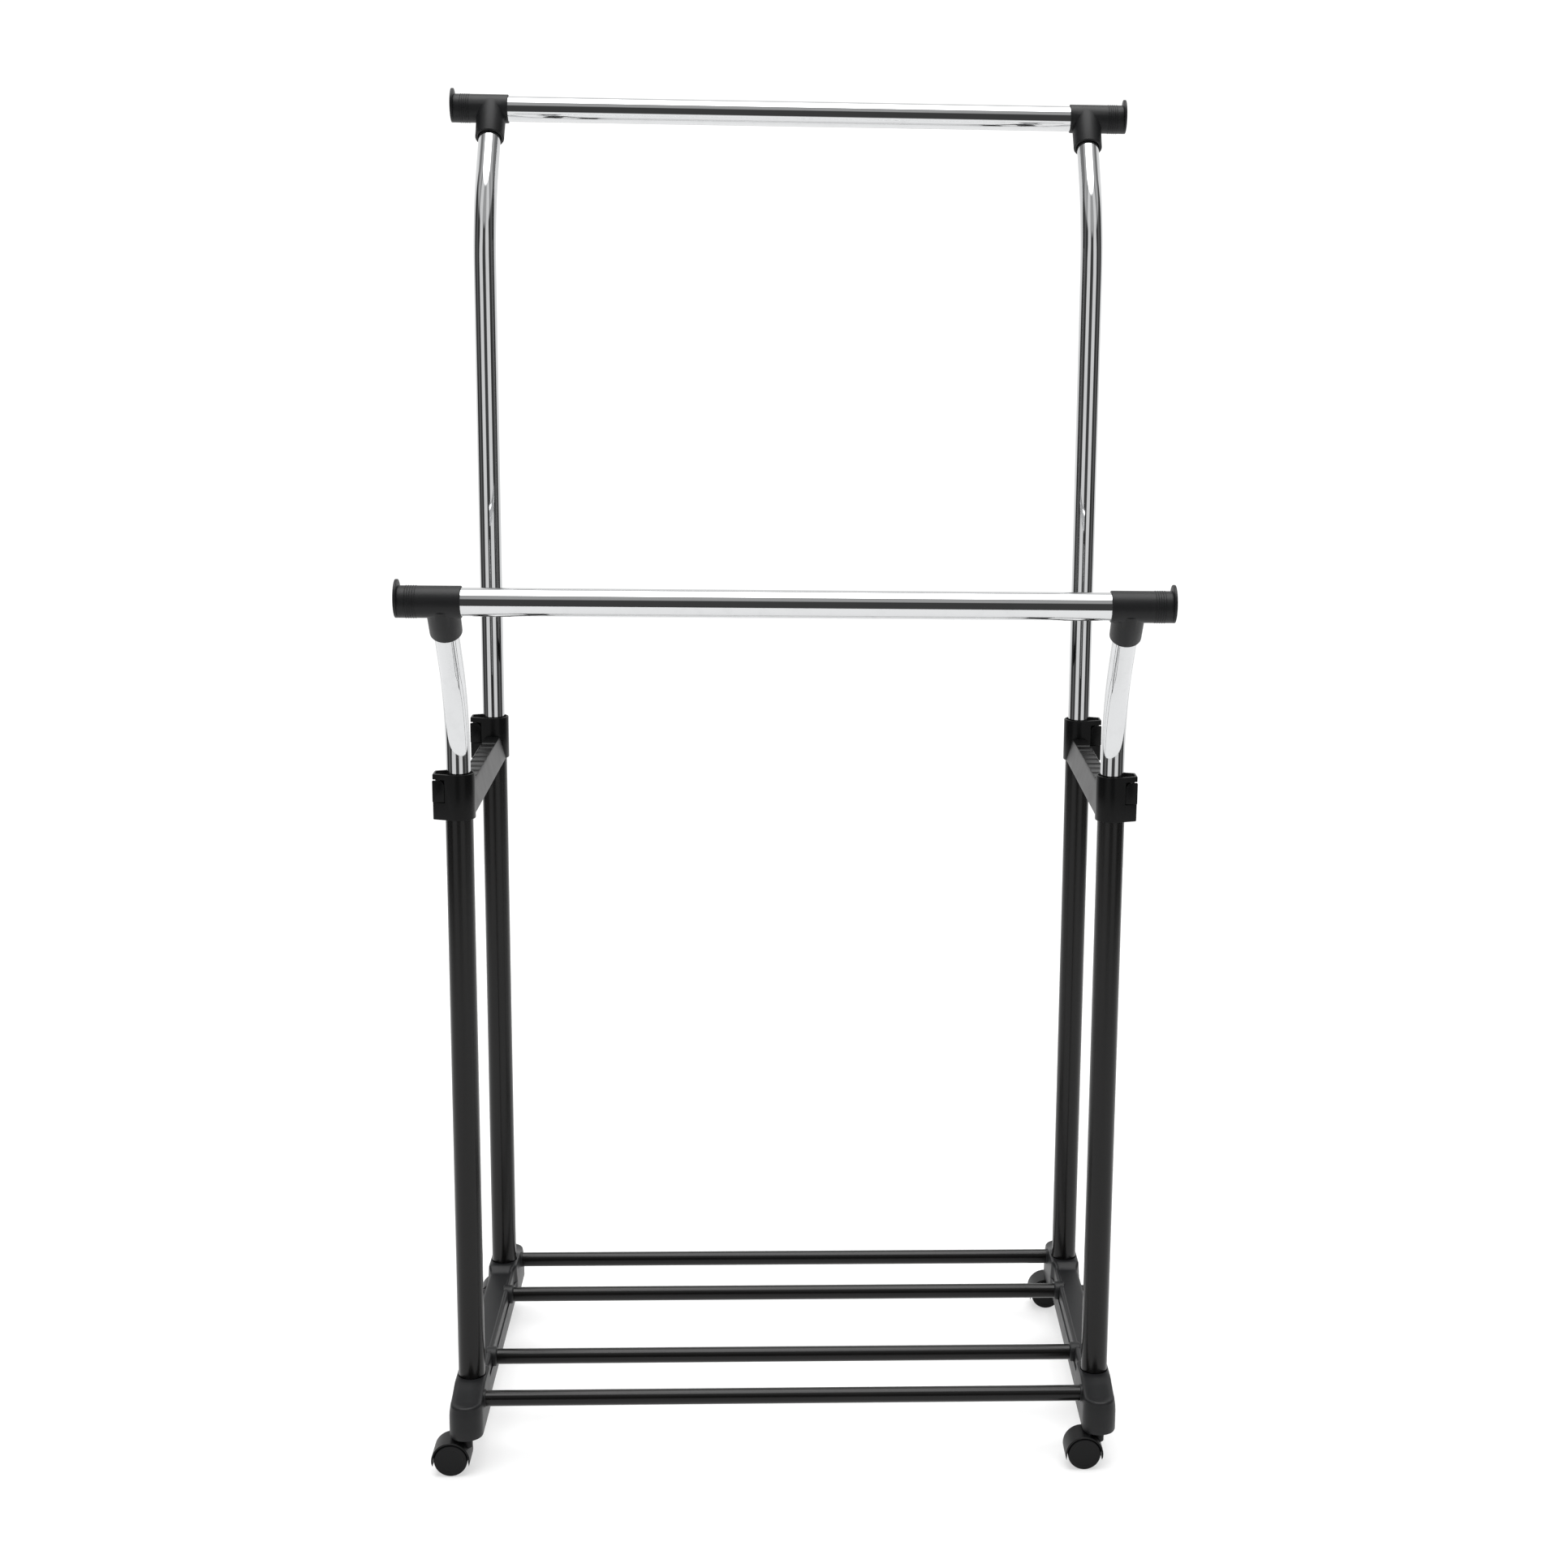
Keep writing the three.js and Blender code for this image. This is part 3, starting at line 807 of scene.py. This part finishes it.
class RACK_OT_levers(bpy.types.Operator):
    """Four quick-release levers on their pins"""
    bl_idname = "rack.levers"
    bl_label = "Levers"

    def execute(self, context):
        for c, sx, sy in CORNERS:
            y0 = sy * LEG_Y / MM

            def at(u, v, w):
                return Vector((sx * (LEG_X + u * MM), (y0 + w) * MM, v * MM))

            cheek = [(15.0, 817.1), (15.6, 816.5), (28.2, 816.5), (28.8, 817.1), (28.8, 841.3), (28.2, 841.9)]
            cheek += arc(PIVOT_X, PIVOT_Z, 7.5, 113, 180, 8)
            cheeks = [prism(cheek, at, 11.3, 14.8), prism(cheek, at, -14.8, -11.3)]
            piece = mesh_object("release_lever_" + c, cheeks)
            plate = [(26.5, 816.5), (28.2, 816.5), (28.8, 817.1), (28.8, 835.4), (28.2, 836.0), (26.5, 836.0)]
            cut(piece, [prism(plate, at, -12.5, 12.5)], "UNION")
            for z in (819, 822, 825):
                rib = [(28.5, z), (29.3, z + 0.4), (29.3, z + 1.0), (28.5, z + 1.4)]
                cut(piece, [prism(rib, at, -9, 9, 0.1)], "UNION")
            settle(piece, "lever_" + c, "black_plastic", "lock_lever_" + c)
            shank = rounded(rod_profile(1.6, -PIN_REACH, PIN_REACH), 0.4)
            pin = mesh_object("hinge_pin_" + c, [turned(shank, at(PIVOT_X, PIVOT_Z, 0), (0, 1, 0), 32)])
            settle(pin, "stand", "bright_steel", "lock_pin_" + c)
        return {"FINISHED"}


# ---------------------------------------------------------------- base rails (mm)
def smooth(a, b, x):
    """An eased step from 0 at a to 1 at b."""
    t = min(1.0, max(0.0, (x - a) / (b - a)))
    return t * t * (3 - 2 * t)


NOSE = 20.25                # radius of the half-round noses
BEAM_OUT, BEAM_IN = 16, 17  # the beam's half width on its outer and inner sides
RIM = 97.0                  # height of the raised rim round a tube
RIM_END = 193               # where the rim starts to fall towards the nose
BEAM_TOP = 90.0
CREST = 88.0                # height of the top at the nose
CREST_ROUND = 3.4           # rounding between the walls and the top
LIP = 1.2                   # height of the lip along the beam's inner edge
TIP_POINTS = 39             # points round each nose, between the two sides


def base_top(y, half):
    """Height of a base rail's top at y: flat beam, raised rim round the tube, hollow fall to the nose."""
    d = abs(y)
    if d < RIM_END:
        return BEAM_TOP + (RIM - BEAM_TOP) * smooth(137, 154, d)
    fall = min(1.0, (d - RIM_END) / (half - 6 - RIM_END))
    return CREST + (RIM - CREST) * (1 - fall) ** 2


def half_width(x, wide):
    """A base rail's half width on the side x is on; wide is 0 along the beam and 1 at the noses."""
    beam = BEAM_IN if x < 0 else BEAM_OUT
    return beam + (NOSE - beam) * wide


def base_plan(half):
    """Plan outline of a base rail: half-round noses joined by a narrower beam, x growing outwards.

    Each point is (x, y, the y of the middle-line point it moves in towards).
    """
    centre_y = half - NOSE
    stretches = ((-centre_y, -156, 12), (-154, -136, 16), (-130, 130, 27),
                 (136, 154, 16), (156, centre_y, 12))
    side = [y for start, end, count in stretches for y in np.linspace(start, end, count)]
    outer = [(half_width(1, smooth(143, 154, abs(y))), y, y) for y in side]
    inner = [(-half_width(-1, smooth(143, 154, abs(y))), y, y) for y in reversed(side)]
    tip = [math.pi * i / (TIP_POINTS + 1) for i in range(1, TIP_POINTS + 1)]
    front = [(NOSE * math.cos(t), centre_y + NOSE * math.sin(t), centre_y) for t in tip]
    back = [(-NOSE * math.cos(t), -centre_y - NOSE * math.sin(t), -centre_y) for t in tip]
    return outer + front + inner + back


def base_outlines(half, at):
    """Rings of a base rail's skin: up its walls, round the crest, then in over the top to the middle line."""
    plan = base_plan(half)
    widths = [smooth(144, 154, abs(y)) for _, y, _ in plan]

    def ring(inset, height):
        """The plan outline moved in by inset(x, wide), at height(y, x, wide)."""
        made = []
        for (x, y, cy), wide in zip(plan, widths):
            reach = math.hypot(x, y - cy)
            into = inset(x, wide)
            keep = max(0.0, 1 - into / reach)
            py = cy + (y - cy) * keep
            made.append(at(x * keep, py, height(py, x, wide)))
        return made

    def draft(z, x, wide):
        """How far in the wall is at height z: tapering noses, and a step along the beam's inner side."""
        step = 1.5 if x < 0 and z > 73.5 else 0.0
        return 2.05 * wide * smooth(68, 100, z) + step * (1 - wide)

    def lip(x, wide, height):
        return height * (1 - wide) if x < 0 else 0.0

    rings = [ring(lambda x, w: 2.0, lambda y, x, w: 46.0),
             ring(lambda x, w: 0.6, lambda y, x, w: 46.5),
             ring(lambda x, w: 0.0, lambda y, x, w: 48.0)]
    for z in (60.0, 70.0, 73.4, 73.6, 76.0, 79.0):
        rings.append(ring(lambda x, w: draft(z, x, w), lambda y, x, w: z))
    for i in range(8):
        turn = math.pi / 2 * i / 7
        below = CREST_ROUND * (1 - math.sin(turn))
        rings.append(ring(
            lambda x, w: draft(BEAM_TOP, x, w) + CREST_ROUND * (1 - math.cos(turn)),
            lambda y, x, w: base_top(y, half) - below + lip(x, w, LIP) * math.sin(turn)))
    rings.append(ring(lambda x, w: draft(BEAM_TOP, x, w) + CREST_ROUND + 1.2,
                      lambda y, x, w: base_top(y, half) + lip(x, w, 0.9)))
    rings.append(ring(lambda x, w: draft(BEAM_TOP, x, w) + CREST_ROUND + 2.4,
                      lambda y, x, w: base_top(y, half)))
    for share in (0.45, 0.6, 0.8, 0.99):
        dish = 1.1 * smooth(0.3, 0.9, share)
        rings.append(ring(lambda x, w: share * half_width(x, w),
                          lambda y, x, w: base_top(y, half) - dish * smooth(188, 205, abs(y))))
    return rings


def closed_by_strips(rings):
    """Skin over outlines, the first and last filled by strips across and one face at each nose."""
    m = len(rings[0])
    vertices, faces = skin(rings)
    side = m // 2 - TIP_POINTS
    for base in (0, (len(rings) - 1) * m):
        for i in range(side - 1):
            across = base + m - TIP_POINTS - 2 - i
            faces.append((base + i, base + i + 1, across, across + 1))
        faces.append(tuple(base + i for i in range(side - 1, side + TIP_POINTS + 1)))
        faces.append((base,) + tuple(base + i for i in range(m - TIP_POINTS - 1, m)))
    return vertices, faces


class RACK_OT_base_rails(bpy.types.Operator):
    """Two moulded base rails with rounded noses, tube sockets and rod bosses"""
    bl_idname = "rack.base_rails"
    bl_label = "Base rails"

    def execute(self, context):
        rod_z = centre("shelf_rod_1").z / MM
        for side, sx in SIDES:
            node = "base_rail_" + side
            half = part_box(node)[1][1] / MM

            def at(x, y, z):
                return Vector((sx * (LEG_X + x * MM), y * MM, z * MM))

            piece = mesh_object("base_" + side, [closed_by_strips(base_outlines(half, at))])
            socket = rod_profile(16.9, 0, 10)
            cut(piece, [turned(socket, at(0, sy * LEG_Y / MM, 91), (0, 0, 1), 96) for _, sy in ENDS])
            inner = rounded([(0, 0), (12.2, 0), (12.0, 12.2), (10.6, 13.5), (0, 13.5)], 1.2)
            outer = rounded(rod_profile(7, 0, 11.8), 1.6)
            for i in (2, 3):
                y = centre("shelf_rod_%d" % i).y / MM
                cut(piece, [turned(inner, at(-8, y, rod_z), (-sx, 0, 0), 72),
                            turned(outer, at(8, y, rod_z), (sx, 0, 0), 48)], "UNION")
            small = rounded(rod_profile(10.6, 0, 11.0), 0.8)
            for i in (1, 4):
                y = centre("shelf_rod_%d" % i).y / MM
                cut(piece, [turned(small, at(-10, y, rod_z), (-sx, 0, 0), 72)], "UNION")
            settle(piece, "stand", "charcoal_plastic", node)
        return {"FINISHED"}


# ---------------------------------------------------------------- casters
class RACK_OT_casters(bpy.types.Operator):
    """Four twin-wheel casters under the base rails"""
    bl_idname = "rack.casters"
    bl_label = "Casters"

    def execute(self, context):
        s = context.scene.rack_sizes
        r = s.wheel_diameter / 2 / MM
        wheel = rounded([(0, 16.3), (14.2, 16.3), (14.6, 16.6), (17.4, 16.6), (18.2, 17), (19.3, 16.5),
                         (r, 15.2), (r, 7), (r - 0.8, 5.6), (16, 5.5), (15, 8.5), (6, 8.5),
                         (5, 5.5), (0, 5.5)], 0.5, 2)
        barrel = rounded(rod_profile(7, 0, 14.4), 0.8)
        outer = 23.0
        for c, sx, sy in CORNERS:
            x0, y0 = sx * LEG_X / MM, sy * CASTER_Y / MM
            ax, az = x0 - 18, 20.0

            def at(u, v, w):
                return Vector((u * MM, (y0 + w) * MM, v * MM))

            # the hood: a curved shell over both wheels, its ends drawn out to points
            rings = []
            for t in np.linspace(-18, 198, 73):
                end = min(t + 18, 198 - t)
                inner = 21.2 + 1.3 * (1 - smooth(0, 16, end))
                half_y = 17.5 - 1.5 * (1 - smooth(0, 10, end))
                a = math.radians(t)
                section = ((-half_y, inner), (-half_y, outer - 0.5), (-half_y + 0.5, outer), (0, outer),
                           (half_y - 0.5, outer), (half_y, outer - 0.5), (half_y, inner), (0, inner))
                rings.append([at(ax + rad * math.cos(a), az + rad * math.sin(a), w) for w, rad in section])
            hood = mesh_object("hood_" + c, [loft(rings)])
            rib = arc(ax, az, 22, -8, 188, 28) + arc(ax, az, 8, 200, 340, 10)
            cut(hood, [prism(rib, at, -5, 5),
                       turned(barrel, (x0 * MM, y0 * MM, 0.031), (0, 0, 1), 64)], "UNION")
            settle(hood, "caster_" + c, "caster_plastic", "caster_hood_" + c)
            shells = [turned(wheel, at(ax, az, 0), (0, q, 0), 80) for q in (-1, 1)]
            wheels = mesh_object("wheels_" + c, shells)
            nodes = ("caster_wheel_a_" + c, "caster_wheel_b_" + c)
            settle(wheels, "wheels_" + c, "caster_plastic", *nodes, angle=40)
        return {"FINISHED"}


class RACK_OT_hidden_fittings(bpy.types.Operator):
    """Finishes for the small fittings that keep their own shapes"""
    bl_idname = "rack.hidden_fittings"
    bl_label = "Hidden fittings"

    def execute(self, context):
        fittings = (("guide_bush_", "black_plastic"), ("caster_stem_", "bright_steel"),
                    ("caster_axle_", "bright_steel"))
        for c, _, _ in CORNERS:
            for name, material in fittings:
                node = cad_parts[name + c]
                node.data.materials.clear()
                node.data.materials.append(finish(material))
        return {"FINISHED"}


# ---------------------------------------------------------------- stage
CEILING = 6.0                           # brightness overhead
BACKDROP = 1.1                          # brightness of the background the camera sees
FLOOR_RADIUS = 2.8
LENS = 56.51
LENS_SHIFT = (-0.0842, -0.0305)
CAMERA_AT = (0.0017, -2.9918, 1.4630)
CAMERA_TURN = (3.009, 11.390, -0.856)   # yaw, pitch and roll, degrees


def studio_light(world):
    """White room with a bright ceiling, soft boxes beside the viewer and dark gaps between them."""
    world.use_nodes = True
    world.node_tree.nodes.clear()
    shop = Shop(world.node_tree)
    node = shop.node
    direction = node("ShaderNodeTexCoord", out="Generated")
    x, y, z = (node("ShaderNodeSeparateXYZ", {}, {"Vector": direction}, out=axis) for axis in "XYZ")
    turn = node("ShaderNodeMath", {"operation": "ARCTAN2"}, {0: x, 1: 0 - y})
    waver = node("ShaderNodeTexNoise", {}, {"Vector": direction, "Scale": 2.2, "Detail": 1.0}, out="Fac")
    aside = node("ShaderNodeMath", {"operation": "ABSOLUTE"}, {0: turn})
    around = aside * (1 / math.pi) + 0.07 * (waver - 0.5)
    rise = node("ShaderNodeMath", {"operation": "ARCSINE"}, {0: z}) * (1 / math.pi) + 0.5

    def bands(source, full, offset, soft, steps):
        """A ramp over an angle: each step is (degrees, value), and is reached over soft degrees."""
        stops = []
        for (start, value), (_, before) in zip(steps, [steps[0]] + list(steps)):
            at = (start + offset) / full
            if stops:
                stops.append((at - soft / full, before))
            stops.append((at, value))
        return shop.ramp(source, stops)

    horizon = bands(around, 180, 0, 5,
                    [(0, 0.07), (17, 0.95), (52, 0.05), (74, 0.15), (92, 0.05), (118, 1.0)])
    upper = bands(around, 180, 0, 9,
                  [(0, 0.50), (26, 0.95), (62, 0.35), (76, 0.60), (98, 0.25), (120, 1.0)])
    high = bands(rise, 180, 90, 6, [(-90, 0.0), (34, 1.0)])
    ceiling = bands(rise, 180, 90, 8, [(-90, 0.0), (68, 1.0)])
    low = bands(rise, 180, 90, 4, [(-90, 1.0), (-22, 0.0)])
    light = horizon * (1 - high) + upper * high
    light = light * (1 - ceiling) + CEILING * ceiling
    light = light * (1 - low) + 0.95 * low
    unlit = node("ShaderNodeBackground", {}, {"Color": (1, 1, 1, 1), "Strength": BACKDROP}, out="Background")
    lit = node("ShaderNodeBackground", {}, {"Color": (1, 1, 1, 1), "Strength": light}, out="Background")
    seen = node("ShaderNodeLightPath", out="Is Camera Ray")
    mixed = node("ShaderNodeMixShader", {}, {0: seen, 1: lit, 2: unlit})
    output = world.node_tree.nodes.new("ShaderNodeOutputWorld")
    shop.put(output.inputs["Surface"], mixed)


class RACK_OT_stage(bpy.types.Operator):
    """Pale floor, soft studio light and the camera"""
    bl_idname = "rack.stage"
    bl_label = "Stage"

    def execute(self, context):
        scene = context.scene
        scene.view_settings.view_transform = "Standard"
        scene.view_settings.look = "None"
        floor = bpy.data.objects.new("floor", bpy.data.meshes.new("floor"))
        turns = np.linspace(0, 2 * math.pi, 97)[:-1]
        rim = [(FLOOR_RADIUS * math.cos(a), FLOOR_RADIUS * math.sin(a), -0.0005) for a in turns]
        floor.data.from_pydata(rim, [], [tuple(range(len(rim)))])
        floor.data.materials.append(finish("floor"))
        scene.collection.objects.link(floor)

        world = bpy.data.worlds.new("studio")
        scene.world = world
        studio_light(world)

        camera = bpy.data.cameras.new("camera")
        camera.sensor_fit, camera.sensor_width = "HORIZONTAL", 36.0
        camera.lens = LENS
        camera.shift_x, camera.shift_y = LENS_SHIFT
        camera.clip_end = 100
        yaw, pitch, roll = (math.radians(v) for v in CAMERA_TURN)
        ahead = Vector((math.sin(yaw) * math.cos(pitch), math.cos(yaw) * math.cos(pitch), -math.sin(pitch)))
        right = Vector((math.cos(yaw), -math.sin(yaw), 0))
        down = ahead.cross(right)
        across = right * math.cos(roll) + down * math.sin(roll)
        below = -right * math.sin(roll) + down * math.cos(roll)
        eye = bpy.data.objects.new("camera", camera)
        rows = [(a, -b, -c, place) for a, b, c, place in zip(across, below, ahead, CAMERA_AT)]
        eye.matrix_world = Matrix(rows + [(0, 0, 0, 1)])
        scene.collection.objects.link(eye)
        scene.camera = eye
        return {"FINISHED"}


class RACK_PT_panel(bpy.types.Panel):
    """Sidebar list of the rack's sizes, finishes and pieces"""
    bl_idname = "RACK_PT_panel"
    bl_label = "Rolling clothes rack"
    bl_space_type = "VIEW_3D"
    bl_region_type = "UI"
    bl_category = "Rack"

    def draw(self, context):
        for group in (context.scene.rack_sizes, context.scene.rack_finishes):
            box = self.layout.box()
            for name in group.__annotations__:
                box.prop(group, name)
        for operator in OPERATORS:
            self.layout.operator(operator.bl_idname)


OPERATORS = (
    RACK_OT_base_rails, RACK_OT_shelf_rods, RACK_OT_lower_tubes, RACK_OT_brackets, RACK_OT_levers,
    RACK_OT_uprights, RACK_OT_tee_connectors, RACK_OT_hanging_rails, RACK_OT_casters,
    RACK_OT_hidden_fittings, RACK_OT_stage,
)
CLASSES = (RackSizes, RackFinishes) + OPERATORS + (RACK_PT_panel,)


def register():
    for cls in CLASSES:
        bpy.utils.register_class(cls)
    bpy.types.Scene.rack_sizes = bpy.props.PointerProperty(type=RackSizes)
    bpy.types.Scene.rack_finishes = bpy.props.PointerProperty(type=RackFinishes)


def unregister():
    del bpy.types.Scene.rack_finishes
    del bpy.types.Scene.rack_sizes
    for cls in reversed(CLASSES):
        bpy.utils.unregister_class(cls)


def main():
    register()
    for operator in OPERATORS:
        group, name = operator.bl_idname.split(".")
        getattr(getattr(bpy.ops, group), name)()


if __name__ == "__main__":
    main()
